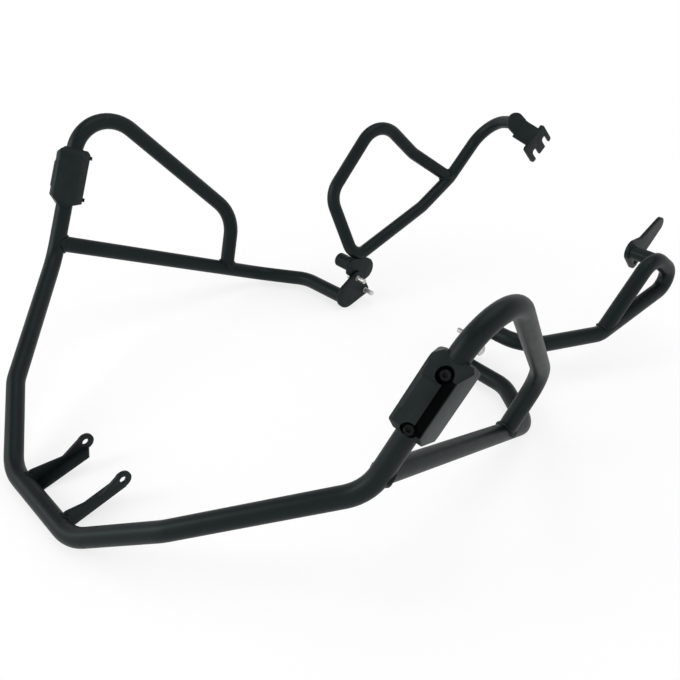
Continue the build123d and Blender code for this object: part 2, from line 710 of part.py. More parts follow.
nodes = {
    "main_hoop": main_hoop,
    "cross_tube_right": cross_tube_right,
    "cross_tube_left": cross_tube_left,
    "front_tab_right": front_tab_right,
    "front_tab_left": front_tab_left,
    "front_plate_right": front_plate_right,
    "front_plate_left": front_plate_left,
    "rear_plate_right": rear_plate_right,
    "rear_plate_left": rear_plate_left,
    "flange_bolts_right": flange_bolts_right,
    "flange_bolts_left": flange_bolts_left,
    "flange_washers_right": flange_washers_right,
    "flange_washers_left": flange_washers_left,
    "stub_left": stub_left,
    "stub_cap_left": stub_cap_left,
    "rear_tube_left": rear_tube_left,
    "loop_tube_left": loop_tube_left,
    "fork_bracket_left": fork_bracket_left,
    "rear_tube_right": rear_tube_right,
    "loop_tube_right": loop_tube_right,
    "end_stub_right": end_stub_right,
    "end_bracket_right": end_bracket_right,
    **slider_nodes,
}

# The row's origin is on the floor at the middle of the part's length
front_most = min(node.part.bounding_box().min.Y for node in nodes.values())
rear_most = max(node.part.bounding_box().max.Y for node in nodes.values())
to_middle = Location((0, -(front_most + rear_most) / 2, 0))

os.makedirs("parts", exist_ok=True)
for name, node in nodes.items():
    placed = node.part.moved(to_middle)
    placed.label = name
    export_step(placed, f"parts/{name}.step")
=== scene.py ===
"""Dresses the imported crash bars: finishes, eased edges, weld beads, threaded bolts, floor and light."""
import json
import logging
import math
from dataclasses import dataclass
from enum import Enum
from typing import Callable

import bpy
from mathutils import Matrix, Vector


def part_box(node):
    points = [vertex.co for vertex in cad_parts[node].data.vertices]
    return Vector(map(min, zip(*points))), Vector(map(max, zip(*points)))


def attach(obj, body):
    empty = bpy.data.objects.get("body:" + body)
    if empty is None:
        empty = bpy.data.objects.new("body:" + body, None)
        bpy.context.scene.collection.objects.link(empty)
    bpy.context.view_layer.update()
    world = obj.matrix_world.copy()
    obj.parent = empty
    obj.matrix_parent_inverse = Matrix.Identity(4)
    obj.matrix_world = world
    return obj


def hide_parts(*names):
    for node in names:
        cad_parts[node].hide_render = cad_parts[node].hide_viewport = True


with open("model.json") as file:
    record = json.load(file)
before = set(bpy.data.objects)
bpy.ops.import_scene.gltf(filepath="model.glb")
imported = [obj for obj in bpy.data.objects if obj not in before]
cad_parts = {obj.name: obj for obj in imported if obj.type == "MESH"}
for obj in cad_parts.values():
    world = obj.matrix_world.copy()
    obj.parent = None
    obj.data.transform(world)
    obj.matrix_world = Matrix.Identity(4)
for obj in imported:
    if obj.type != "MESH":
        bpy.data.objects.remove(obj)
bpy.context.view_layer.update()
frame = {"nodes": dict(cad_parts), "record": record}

MM = 0.001
ROOT = "root"
Triple = tuple[float, float, float]
FaceTest = Callable[[bpy.types.MeshPolygon], bool]

# Most of a noise texture's values lie between these two
NOISE_LOW = 0.3
NOISE_HIGH = 0.7

# Millimetres within which a point counts as lying on a plane
TOUCH = 0.01

# Stands a flat ring round the front tube: its X becomes the machine's Y, and its Y the machine's Z
ROUND_THE_TUBE = Matrix(((0, 0, 1, 0), (1, 0, 0, 0), (0, 1, 0, 0), (0, 0, 0, 1)))

log = logging.getLogger("crash_bars")


class Slot(Enum):
    """The record's material slots."""

    COAT = "black_coat"
    PLASTIC = "black_plastic"
    ZINC = "bright_steel"
    BLACK_ZINC = "black_zinc"


class Side(Enum):
    """The two sides of the machine, with the sign of their X."""

    RIGHT = 1
    LEFT = -1

    @property
    def tag(self) -> str:
        """The side's word in node names."""
        return self.name.lower()

    def turn(self, point: Vector) -> Vector:
        """Puts a right-hand point or direction on this side."""
        return Vector((self.value * point.x, point.y, point.z))


@dataclass(frozen=True)
class Drawing:
    """Places of the bars' drawing that the beads, bolts, the sliders' painted shade and their polished
    facets are set out from.

    Lengths are in millimetres. The slider_face is a direction, and the two shares are places on the line
    between two of the points.
    """

    main_r: float = 12.5
    knee: Vector = Vector((354.5, 211.5, 147.0))
    arch: Vector = Vector((409.0, 330.0, 374.0))
    heel: Vector = Vector((335.5, 540.5, 135.5))
    elbow: Vector = Vector((305.0, 576.0, 17.0))
    wrist: Vector = Vector((229.0, 624.5, 19.0))
    cross_end: Vector = Vector((131.0, 631.0, 17.0))
    cross_above_knee: float = 24.0
    foot_along: float = 311.5
    plate_face: float = 136.0
    left_axis: tuple[float, float] = (651.5, 73.5)
    right_axis: tuple[float, float] = (671.0, 67.5)
    left_join: Vector = Vector((-138.0, 901.5, 175.5))
    loop_back: Vector = Vector((-169.0, 828.5, 231.0))
    left_turn: Vector = Vector((-138.0, 1001.0, 263.5))
    left_end: Vector = Vector((-59.0, 974.0, 285.5))
    right_run: Vector = Vector((272.0, 800.5, 61.0))
    right_far: Vector = Vector((290.0, 991.0, 105.0))
    right_top: Vector = Vector((282.5, 903.0, 167.0))
    right_foot_share: float = 0.04
    back_joint_share: float = 0.7
    end_face: float = 233.0
    bolts: tuple[tuple[float, float], ...] = ((656.0, 50.5), (676.0, 20.0))
    slider_along: float = 126.5
    slider_face: Vector = Vector((0.415, -0.845, 0.339))

    def leg_way(self) -> Vector:
        """The hoop's direction up its front leg."""
        return (self.arch - self.knee).normalized()

    def cross_start(self) -> Vector:
        """Where the cross tube's axis leaves the hoop's leg."""
        return self.knee + self.leg_way() * self.cross_above_knee

    def cross_way(self) -> Vector:
        """The cross tube's direction away from the hoop."""
        return (self.elbow - self.cross_start()).normalized()

    def foot(self) -> Vector:
        """Where the hoop's end stands on the cross tube."""
        return self.cross_start() + self.cross_way() * self.foot_along

    def right_foot(self) -> Vector:
        """Where the right loop leaves its run."""
        return self.right_run.lerp(self.right_far, self.right_foot_share)

    def back_joint(self) -> Vector:
        """Where the end stub leaves the right loop."""
        return self.right_far.lerp(self.right_top, self.back_joint_share)


def row(point: Vector) -> Vector:
    """Places a point of the bars' drawing in the row frame.

    Args:
        point: Millimetres right of the middle, behind the front tube's axis and above the floor.

    Returns:
        The point in metres.
    """
    front_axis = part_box("main_hoop")[0].y + Drawing.main_r * MM
    return Vector((point.x * MM, point.y * MM + front_axis, point.z * MM))


def slot_of(node: str) -> Slot:
    """Gives the record's slot of a CAD node.

    Args:
        node: The node's name.

    Returns:
        Its slot, or the coat where the record names none.
    """
    for part in frame["record"]["subparts"]:
        if part["node"] == node:
            return Slot(part["material_slot"])
    return Slot.COAT


class Bench:
    """Operator calls that every piece needs."""

    @staticmethod
    def pick(*pieces: bpy.types.Object) -> None:
        """Selects only these pieces and makes the first one active.

        Args:
            *pieces: The objects to select.
        """
        bpy.ops.object.select_all(action="DESELECT")
        for piece in pieces:
            piece.select_set(True)
        bpy.context.view_layer.objects.active = pieces[0]

    @staticmethod
    def edit(piece: bpy.types.Object) -> None:
        """Opens a piece in edit mode with all of it selected.

        Args:
            piece: The object.
        """
        Bench.pick(piece)
        bpy.ops.object.mode_set(mode="EDIT")
        bpy.ops.mesh.select_all(action="SELECT")

    @staticmethod
    def close() -> None:
        """Leaves edit mode."""
        bpy.ops.object.mode_set(mode="OBJECT")

    @staticmethod
    def pick_nothing(piece: bpy.types.Object) -> None:
        """Deselects every point, edge and face of a piece, and leaves edit mode.

        Args:
            piece: The object.
        """
        Bench.edit(piece)
        bpy.ops.mesh.select_all(action="DESELECT")
        Bench.close()

    @staticmethod
    def pick_faces(piece: bpy.types.Object, wanted: FaceTest) -> None:
        """Opens a piece in edit mode with some of its faces selected.

        Args:
            piece: The object.
            wanted: Says whether a face is to be selected.
        """
        Bench.edit(piece)
        bpy.ops.mesh.select_mode(type="FACE")
        bpy.ops.mesh.select_all(action="DESELECT")
        Bench.close()
        for face in piece.data.polygons:
            face.select = wanted(face)
        bpy.ops.object.mode_set(mode="EDIT")

    @staticmethod
    def paint_faces(piece: bpy.types.Object, material: bpy.types.Material, wanted: FaceTest) -> None:
        """Gives some faces of a piece a finish of their own.

        Args:
            piece: The object.
            material: The finish.
            wanted: Says whether a face takes it.
        """
        piece.data.materials.append(material)
        Bench.pick_faces(piece, wanted)
        piece.active_material_index = len(piece.data.materials) - 1
        bpy.ops.object.material_slot_assign()
        Bench.close()

    @staticmethod
    def start(name: str) -> bpy.types.Object:
        """Names the primitive that was just added.

        Args:
            name: The piece's name.

        Returns:
            The new object.
        """
        piece = bpy.context.object
        piece.name = name
        return piece

    @staticmethod
    def settle(piece: bpy.types.Object) -> None:
        """Moves the place of a piece into its mesh."""
        Bench.pick(piece)
        bpy.ops.object.transform_apply(location=True, rotation=True, scale=True)

    @staticmethod
    def apply_all(piece: bpy.types.Object) -> None:
        """Applies the modifiers of a piece in their order.

        Args:
            piece: The object.
        """
        Bench.pick(piece)
        for modifier in list(piece.modifiers):
            bpy.ops.object.modifier_apply(modifier=modifier.name)

    @staticmethod
    def join(name: str, parts: list[bpy.types.Object]) -> bpy.types.Object:
        """Joins parts into one piece.

        Args:
            name: The name of the piece.
            parts: The objects to join.

        Returns:
            The joined object.
        """
        Bench.pick(*parts)
        if len(parts) > 1:
            bpy.ops.object.join()
        piece = Bench.start(name)
        piece.data.name = name
        return piece

    @staticmethod
    def copy(piece: bpy.types.Object, name: str) -> bpy.types.Object:
        """Copies a piece with a mesh of its own.

        Args:
            piece: The object to copy.
            name: The copy's name.

        Returns:
            The copy.
        """
        twin = bpy.data.objects.new(name, piece.data.copy())
        bpy.context.scene.collection.objects.link(twin)
        return twin

    @staticmethod
    def merged_copy(nodes: list[str], name: str, merge: float = 0.00001) -> bpy.types.Object:
        """Copies CAD nodes into one merged mesh.

        Args:
            nodes: The nodes' names.
            name: The copy's name.
            merge: Distance in metres under which points become one.

        Returns:
            The copy.
        """
        solids = frame["nodes"]
        copies = [Bench.copy(solids[node], f"{name}_{index}") for index, node in enumerate(nodes)]
        piece = Bench.join(name, copies)
        Bench.edit(piece)
        bpy.ops.mesh.remove_doubles(threshold=merge)
        bpy.ops.mesh.customdata_custom_splitnormals_clear()
        Bench.close()
        return piece

    @staticmethod
    def stand(piece: bpy.types.Object, foot: Vector, axis: Vector) -> None:
        """Stands a piece on a point with its local Z along an axis.

        Args:
            piece: A piece that was made at the origin.
            foot: The point in metres.
            axis: The direction that local Z takes.
        """
        piece.location = foot
        piece.rotation_euler = axis.to_track_quat("Z", "Y").to_euler()
        Bench.settle(piece)

    @staticmethod
    def finish_piece(piece: bpy.types.Object, material: bpy.types.Material, slot: Slot) -> None:
        """Paints a piece and lets it ride on the bars.

        Args:
            piece: The finished object, at the origin.
            material: The paint.
            slot: The record's slot; not used.
        """
        piece.data.materials.clear()
        piece.data.materials.append(material)
        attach(piece, ROOT)
        log.info("%s: %d faces", piece.name, len(piece.data.polygons))


def map_range(
    tree: bpy.types.NodeTree,
    value: bpy.types.NodeSocket,
    source: tuple[float, float],
    target: tuple[float, float],
    smooth: bool = False,
) -> bpy.types.NodeSocket:
    """Maps a shader value from one range onto another.

    Args:
        tree: The node tree to add to.
        value: The value to map.
        source: The range that the value has.
        target: The range that it gets.
        smooth: Eases the two ends.

    Returns:
        The mapped value.
    """
    node = tree.nodes.new("ShaderNodeMapRange")
    if smooth:
        node.interpolation_type = "SMOOTHSTEP"
    for key, number in zip(("From Min", "From Max", "To Min", "To Max"), (*source, *target)):
        node.inputs[key].default_value = number
    tree.links.new(value, node.inputs["Value"])
    return node.outputs["Result"]


class Nodes:
    """Adds and links shader nodes of one material."""

    def __init__(self, name: str) -> None:
        """Starts a material with its principled shader.

        Args:
            name: The material's name.
        """
        self.material = bpy.data.materials.new(name)
        self.material.use_nodes = True
        self.tree = self.material.node_tree
        self.shader = self.tree.nodes["Principled BSDF"]
        self.place = self.tree.nodes.new("ShaderNodeTexCoord").outputs["Object"]

    def add(self, kind: str, **values: object) -> bpy.types.Node:
        """Adds a node and sets its properties or sockets.

        Args:
            kind: The node's type name.
            **values: Properties by name, or sockets by name with underscores for spaces.

        Returns:
            The new node.
        """
        node = self.tree.nodes.new(kind)
        for key, value in values.items():
            if hasattr(node, key):
                setattr(node, key, value)
            else:
                node.inputs[key.replace("_", " ")].default_value = value
        return node

    def link(self, source: bpy.types.NodeSocket, target: bpy.types.NodeSocket) -> None:
        """Links two sockets."""
        self.tree.links.new(source, target)

    def set(self, socket: str, value: float | tuple) -> None:
        """Sets a socket of the principled shader."""
        self.shader.inputs[socket].default_value = value

    def noise(self, scale: float, detail: float) -> bpy.types.NodeSocket:
        """Gives a noise value over the piece's own place.

        Args:
            scale: Waves to the metre.
            detail: Octaves of the noise.

        Returns:
            The noise value.
        """
        node = self.add("ShaderNodeTexNoise", Scale=scale, Detail=detail)
        self.link(self.place, node.inputs["Vector"])
        return node.outputs["Fac"]

    def roughen(self, value: bpy.types.NodeSocket, rough: tuple[float, float]) -> None:
        """Varies the shader's roughness between two levels by a noise value."""
        level = map_range(self.tree, value, (NOISE_LOW, NOISE_HIGH), rough)
        self.link(level, self.shader.inputs["Roughness"])

    def tone(self, value: bpy.types.NodeSocket, dark: Triple, light: Triple) -> None:
        """Colours the shader between two tones by a noise value.

        Args:
            value: The noise value.
            dark: Linear colour at the low end.
            light: Linear colour at the high end.
        """
        ramp = self.add("ShaderNodeValToRGB")
        ends = ((NOISE_LOW, dark), (NOISE_HIGH, light))
        for element, (position, colour) in zip(ramp.color_ramp.elements, ends):
            element.position = position
            element.color = (*colour, 1.0)
        self.link(value, ramp.inputs["Fac"])
        self.link(ramp.outputs["Color"], self.shader.inputs["Base Color"])

    def bump(self, value: bpy.types.NodeSocket, height: float, strength: float) -> None:
        """Raises the shader's surface by a value.

        Args:
            value: The height value.
            height: Height of a full step in metres.
            strength: Share of the bump that shows.
        """
        node = self.add("ShaderNodeBump", Distance=height, Strength=strength)
        self.link(value, node.inputs["Height"])
        self.link(node.outputs["Normal"], self.shader.inputs["Normal"])


@dataclass(frozen=True)
class Finish:
    """A finish with a mottled tone, an uneven gloss and a fine relief.

    Colours are linear, scales are waves to the metre, and the relief's height is in metres.
    """

    name: str
    dark: Triple
    light: Triple
    rough: tuple[float, float]
    tone_scale: float
    tone_detail: float
    rough_scale: float
    relief_scale: float
    relief_detail: float
    relief_height: float
    relief_strength: float
    rough_detail: float = 2.0
    metallic: float = 0.0
    specular: float = 0.5
    specular_tint: tuple[float, float, float, float] = (1.0, 1.0, 1.0, 1.0)

    def material(self) -> bpy.types.Material:
        """Builds the finish.

        Returns:
            The new material.
        """
        nodes = Nodes(self.name)
        nodes.tone(nodes.noise(self.tone_scale, self.tone_detail), self.dark, self.light)
        nodes.roughen(nodes.noise(self.rough_scale, self.rough_detail), self.rough)
        nodes.set("Metallic", self.metallic)
        nodes.set("Specular IOR Level", self.specular)
        nodes.set("Specular Tint", self.specular_tint)
        relief = nodes.noise(self.relief_scale, self.relief_detail)
        nodes.bump(relief, self.relief_height, self.relief_strength)
        return nodes.material


@dataclass(frozen=True)
class PowderCoat(Finish):
    """Satin black powder coat with its fine orange peel."""

    name: str = "powder_coat"
    dark: Triple = (0.0018, 0.0036, 0.0038)
    light: Triple = (0.0034, 0.0056, 0.0058)
    rough: tuple[float, float] = (0.43, 0.47)
    tone_scale: float = 14.0
    tone_detail: float = 4.0
    rough_scale: float = 60.0
    relief_scale: float = 900.0
    relief_detail: float = 3.0
    relief_height: float = 0.00012
    relief_strength: float = 0.6
    specular: float = 0.20
    specular_tint: tuple[float, float, float, float] = (0.82, 1.0, 1.0, 1.0)


@dataclass(frozen=True)
class MouldedPlastic(Finish):
    """Matte black polyamide with a spark-eroded grain."""

    name: str = "moulded_plastic"
    dark: Triple = (0.0042, 0.0070, 0.0070)
    light: Triple = (0.0085, 0.0120, 0.0118)
    rough: tuple[float, float] = (0.44, 0.54)
    tone_scale: float = 35.0
    tone_detail: float = 4.0
    rough_scale: float = 120.0
    relief_scale: float = 1600.0
    relief_detail: float = 2.0
    relief_height: float = 0.00016
    relief_strength: float = 0.7
    specular: float = 0.18
    specular_tint: tuple[float, float, float, float] = (0.86, 1.0, 0.98, 1.0)


@dataclass(frozen=True)
class ChannelPlastic(MouldedPlastic):
    """Painted shade: the same plastic coloured near black and almost without gloss in the sliders' channels
    and recesses, where little light reaches.
    """

    name: str = "channel_plastic"
    # Painted shade: near-black colour and almost no gloss for the sunk faces
    dark: Triple = (0.0008, 0.0012, 0.0012)
    light: Triple = (0.002, 0.0026, 0.0026)
    specular: float = 0.03


@dataclass(frozen=True)
class PolishedPlastic(MouldedPlastic):
    """The same plastic on the sliders' long facets, which come smoother out of the mould."""

    name: str = "polished_plastic"
    rough: tuple[float, float] = (0.30, 0.40)
    specular: float = 0.45


@dataclass(frozen=True)
class ZincPlate(Finish):
    """Bright zinc on the flange fasteners."""

    name: str = "zinc_plate"
    dark: Triple = (0.42, 0.42, 0.41)
    light: Triple = (0.66, 0.66, 0.64)
    rough: tuple[float, float] = (0.36, 0.48)
    tone_scale: float = 160.0
    tone_detail: float = 4.0
    rough_scale: float = 300.0
    relief_scale: float = 700.0
    relief_detail: float = 3.0
    relief_height: float = 0.00004
    relief_strength: float = 0.5
    metallic: float = 1.0


@dataclass(frozen=True)
class BlackZinc(Finish):
    """Black-passivated zinc on the slider screws and nuts."""

    name: str = "black_zinc"
    dark: Triple = (0.004, 0.004, 0.005)
    light: Triple = (0.011, 0.011, 0.012)
    rough: tuple[float, float] = (0.34, 0.46)
    tone_scale: float = 220.0
    tone_detail: float = 3.0
    rough_scale: float = 400.0
    relief_scale: float = 900.0
    relief_detail: float = 2.0
    relief_height: float = 0.00003
    relief_strength: float = 0.5
    metallic: float = 0.2
    specular: float = 0.08


@dataclass
class EasedNode:
    """A CAD node whose sharp edges are eased, as coating or moulding leaves them.

    The width is in millimetres. Edges sharper than angle degrees are eased, and faces that lie within
    flat_angle degrees of each other become one first.
    """

    node: str
    slot: Slot
    width: float
    steps: int = 3
    angle: float = 28.0
    flat_angle: float = 0.6

    def build(self, material: bpy.types.Material) -> bpy.types.Object:
        """Copies the node, merges it, eases its edges and lets the copy stand for it.

        Args:
            material: The paint.

        Returns:
            The new piece.
        """
        piece = Bench.merged_copy([self.node], f"{self.node}_eased")
        Bench.edit(piece)
        bpy.ops.mesh.dissolve_limited(angle_limit=math.radians(self.flat_angle))
        Bench.close()
        ease = piece.modifiers.new("ease", "BEVEL")
        ease.width = self.width * MM
        ease.segments = self.steps
        ease.limit_method = "ANGLE"
        ease.angle_limit = math.radians(self.angle)
        ease.use_clamp_overlap = True
        Bench.apply_all(piece)
        bpy.ops.object.shade_smooth_by_angle(angle=math.radians(self.angle))
        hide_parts(self.node)
        Bench.finish_piece(piece, material, self.slot)
        return piece


@dataclass
class SliderFront(EasedNode):
    """A slider's front half, with shade painted into its sunk channel and screw recesses, and the polished
    facet along its outer edge.

    Sizes are in millimetres along the block's own axes: outward, along the tube, and out of the screw face.
    The facet is the direction that the long facet faces, and facet_match the least cosine to it.
    """

    side: Side = Side.RIGHT
    drawing: Drawing = Drawing()
    front: float = 24.0
    channel_at: float = 8.0
    channel_w: float = 10.7
    screw_at: float = 33.0
    screw_shift: float = -4.5
    recess_r: float = 9.0
    wall_slack: float = 0.3
    below_face: float = 0.6
    facet: Triple = (0.864, 0.0, 0.503)
    facet_match: float = 0.985

    def axes(self) -> Matrix:
        """Gives the block's own axes.

        Returns:
            The three directions as rows.
        """
        up = self.drawing.leg_way()
        face = self.drawing.slider_face
        out = (face - up * face.dot(up)).normalized()
        return Matrix([self.side.turn(way) for way in (up.cross(out), up * self.side.value, out)])

    def sunk(self, place: Vector) -> bool:
        """Says whether a place on the block lies in the channel or round a screw head, where shade is
        painted.

        Args:
            place: The place in millimetres along the block's own axes.

        Returns:
            True in the channel and the two recesses.
        """
        along = abs(place.y - self.screw_shift)
        channel_reach = self.channel_w / 2 + self.wall_slack
        in_channel = abs(place.x - self.channel_at) < channel_reach and along < self.screw_at
        near_screw = math.hypot(place.x, along - self.screw_at) < self.recess_r + self.wall_slack
        return 0.0 < place.z < self.front - self.below_face and (in_channel or near_screw)

    def dress(
        self, piece: bpy.types.Object, channel: bpy.types.Material, polish: bpy.types.Material
    ) -> None:
        """Paints the channel and the long facet.

        Args:
            piece: The eased front half.
            channel: The near-black colour painted as shade into the channel and recesses.
            polish: The finish of the long facet.
        """
        axes = self.axes()
        facet = Vector(self.facet)
        plan = self.drawing
        middle = row(self.side.turn(plan.knee + plan.leg_way() * plan.slider_along))
        # Painted shade: the channel and the screw recesses take the near-black colour
        Bench.paint_faces(piece, channel, lambda face: self.sunk(axes @ (face.center - middle) / MM))
        Bench.paint_faces(piece, polish, lambda face: (axes @ face.normal).dot(facet) > self.facet_match)


@dataclass(frozen=True)
class EasedParts:
    """The plates, tabs, brackets, sliders and small fasteners, with their edges' widths in millimetres."""

    pairs: tuple[tuple[str, float], ...] = (
        ("front_plate", 0.9),
        ("rear_plate", 0.9),
        ("front_tab", 0.7),
        ("slider_back", 0.9),
        ("slider_screws", 0.4),
        ("slider_nuts", 0.4),
        ("flange_washers", 0.3),
    )
    singles: tuple[str, ...] = ("end_bracket_right", "fork_bracket_left", "stub_cap_left")
    single_width: float = 0.9
    slider_width: float = 0.9

    def build(self, paints: dict[Slot, bpy.types.Material]) -> None:
        """Eases every part, paints shade into the sliders' channels and recesses, and polishes their facets.

        Args:
            paints: The finish of each slot.
        """
        widths = [(f"{stem}_{side.tag}", width) for stem, width in self.pairs for side in Side]
        widths += [(name, self.single_width) for name in self.singles]
        for name, width in widths:
            EasedNode(name, slot_of(name), width).build(paints[slot_of(name)])
        for side in Side:
            half = SliderFront(f"slider_front_{side.tag}", Slot.PLASTIC, self.slider_width, side=side)
            piece = half.build(paints[Slot.PLASTIC])
            half.dress(piece, ChannelPlastic().material(), PolishedPlastic().material())


@dataclass
class WeldRing:
    """A weld bead round the end of a tube, laid on what the tube meets.

    Sizes are in millimetres. The ring starts back_off along the axis and is laid from there, and the bead's
    ripple comes back every ripple_points of its points.
    """

    name: str
    centre: Vector
    axis: Vector
    radius: float
    onto: list[str]
    leg: float = 3.2
    back_off: float = 45.0
    points: int = 84
    ripple: float = 0.09
    ripple_points: int = 3
    round_steps: int = 3

    def ring(self) -> bpy.types.Object:
        """Adds the flat ring that the bead starts from.

        Returns:
            The ring, at the origin.
        """
        bpy.ops.object.select_all(action="DESELECT")
        bpy.ops.mesh.primitive_circle_add(vertices=self.points, radius=self.radius * MM)
        return Bench.start(self.name)

    def build(self) -> bpy.types.Object:
        """Lays a ring on the other piece along the tube's axis and thickens it to a rippled bead.

        Returns:
            The bead, at the origin.
        """
        ground = Bench.merged_copy(self.onto, f"{self.name}_ground")
        ring = self.ring()
        ring.location = row(self.centre + self.axis * self.back_off)
        ring.rotation_euler = self.axis.to_track_quat("Z", "Y").to_euler()
        lay = ring.modifiers.new("lay", "SHRINKWRAP")
        lay.target = ground
        lay.wrap_method = "PROJECT"
        lay.use_project_z = True
        lay.use_negative_direction = True
        lay.use_positive_direction = False
        Bench.apply_all(ring)
        Bench.settle(ring)
        bpy.data.objects.remove(ground)
        return self.thicken(ring)

    def thicken(self, ring: bpy.types.Object) -> bpy.types.Object:
        """Turns a line of edges into a rippled bead.

        Args:
            ring: A mesh of edges at the origin.

        Returns:
            The bead's mesh object.
        """
        Bench.pick(ring)
        bpy.ops.object.convert(target="CURVE")
        bead = bpy.context.object
        bead.data.bevel_depth = self.leg * MM
        bead.data.bevel_resolution = self.round_steps
        bead.data.use_fill_caps = True
        for index, point in enumerate(bead.data.splines[0].points):
            point.radius = 1.0 + self.ripple * math.sin(index * math.tau / self.ripple_points)
        Bench.pick(bead)
        bpy.ops.object.convert(target="MESH")
        bpy.ops.object.shade_smooth()
        return bpy.context.object


@dataclass
class TabWeld(WeldRing):
    """A bead along the part of the front tube that a tab stands on, between two angles in degrees."""

    low: float = -44.0
    high: float = 66.0

    def build(self) -> bpy.types.Object:
        """Cuts a ring round the front tube to the tab's reach and thickens it.

        Returns:
            The bead, at the origin.
        """
        ring = self.ring()
        Bench.pick_nothing(ring)
        for vertex in ring.data.vertices:
            turn = math.degrees(math.atan2(vertex.co.y, vertex.co.x))
            vertex.select = not self.low <= turn <= self.high
        bpy.ops.object.mode_set(mode="EDIT")
        bpy.ops.mesh.delete(type="VERT")
        Bench.close()
        ring.matrix_world = Matrix.Translation(row(self.centre)) @ ROUND_THE_TUBE
        Bench.settle(ring)
        return self.thicken(ring)


@dataclass
class Welds:
    """All the beads where tubes meet tubes, tabs and plates, with sizes in millimetres.

    An r is the ring's radius, a leg is the bead's own, and a back is how far off the ring starts.
    """

    drawing: Drawing
    slot: Slot = Slot.COAT
    tab_faces: tuple[float, float] = (46.6, 51.4)
    tab_leg: float = 2.0
    coped_r: float = 12.1
    plate_r: float = 12.4
    left_loop_r: float = 10.6
    right_loop_r: float = 11.6
    end_stub_r: float = 10.7
    bracket_r: float = 10.9
    small_leg: float = 2.6
    right_bar_leg: float = 2.4
    end_stub_leg: float = 2.8
    plate_back: float = 10.0
    fork_back: float = 12.0
    wrist_back: float = 20.0
    end_stub_back: float = 30.0
    right_loop_back: float = 60.0

    def side_rings(self, side: Side) -> list[WeldRing]:
        """Lists the beads that both sides have.

        Args:
            side: The side of the machine.

        Returns:
            The beads to lay.
        """
        plan = self.drawing
        tag = side.tag
        start, foot, end = (side.turn(at) for at in (plan.cross_start(), plan.foot(), plan.cross_end))
        cross_way = side.turn(plan.cross_way())
        foot_way = side.turn((plan.heel - plan.foot()).normalized())
        wrist_way = side.turn((plan.wrist - plan.cross_end).normalized())
        plate = [f"front_plate_{tag}"]
        rings = [
            WeldRing(f"weld_knee_{tag}", start, cross_way, self.coped_r, ["main_hoop"]),
            WeldRing(f"weld_foot_{tag}", foot, foot_way, self.coped_r, [f"cross_tube_{tag}"]),
            WeldRing(f"weld_wrist_{tag}", end, wrist_way, self.plate_r, plate, back_off=self.wrist_back),
        ]
        outward = Vector((1.0, 0.0, 0.0))
        for index, face in enumerate(self.tab_faces):
            centre = side.turn(Vector((face, 0.0, plan.main_r)))
            name = f"weld_tab_{tag}_{index}"
            rings.append(TabWeld(name, centre, outward, plan.main_r, [], leg=self.tab_leg))
        return rings

    def left_rings(self) -> list[WeldRing]:
        """Lists the beads of the left rear bar.

        Returns:
            The beads to lay.
        """
        plan = self.drawing
        stub = Vector((-plan.plate_face, *plan.left_axis))
        outward = Vector((-1.0, 0.0, 0.0))
        loop_way = (plan.loop_back - plan.left_join).normalized()
        fork_way = (plan.left_turn - plan.left_end).normalized()
        return [
            WeldRing("weld_stub", stub, outward, self.plate_r, ["rear_plate_left"],
                     leg=self.small_leg, back_off=self.plate_back),
            WeldRing("weld_loop", plan.left_join, loop_way, self.left_loop_r, ["rear_tube_left"]),
            WeldRing("weld_fork", plan.left_end, fork_way, self.bracket_r, ["fork_bracket_left"],
                     leg=self.small_leg, back_off=self.fork_back),
        ]

    def right_rings(self) -> list[WeldRing]:
        """Lists the beads of the right rear bar.

        Returns:
            The beads to lay.
        """
        plan = self.drawing
        outward = Vector((1.0, 0.0, 0.0))
        bar = Vector((plan.plate_face, *plan.right_axis))
        tubes = ["rear_tube_right", "loop_tube_right"]
        joint = plan.back_joint()
        tip = Vector((plan.end_face, joint.y, joint.z))
        loop_way = (plan.right_top - plan.right_foot()).normalized()
        return [
            WeldRing("weld_right_bar", bar, outward, self.plate_r, ["rear_plate_right"],
                     leg=self.right_bar_leg, back_off=self.plate_back),
            WeldRing("weld_right_loop", plan.right_foot(), loop_way, self.right_loop_r, ["rear_tube_right"],
                     leg=self.small_leg, back_off=self.right_loop_back),
            WeldRing("weld_end_stub", joint, -outward, self.end_stub_r, tubes,
                     leg=self.end_stub_leg, back_off=self.end_stub_back),
            WeldRing("weld_end_plate", tip, outward, self.bracket_r, ["end_bracket_right"],
                     leg=self.small_leg, back_off=self.plate_back),
        ]

    def build(self, material: bpy.types.Material) -> None:
        """Lays every bead and paints it with the tubes.

        Args:
            material: The paint.
        """
        rings = self.side_rings(Side.RIGHT) + self.side_rings(Side.LEFT)
        rings += self.left_rings() + self.right_rings()
        for ring in rings:
            Bench.finish_piece(ring.build(), material, self.slot)


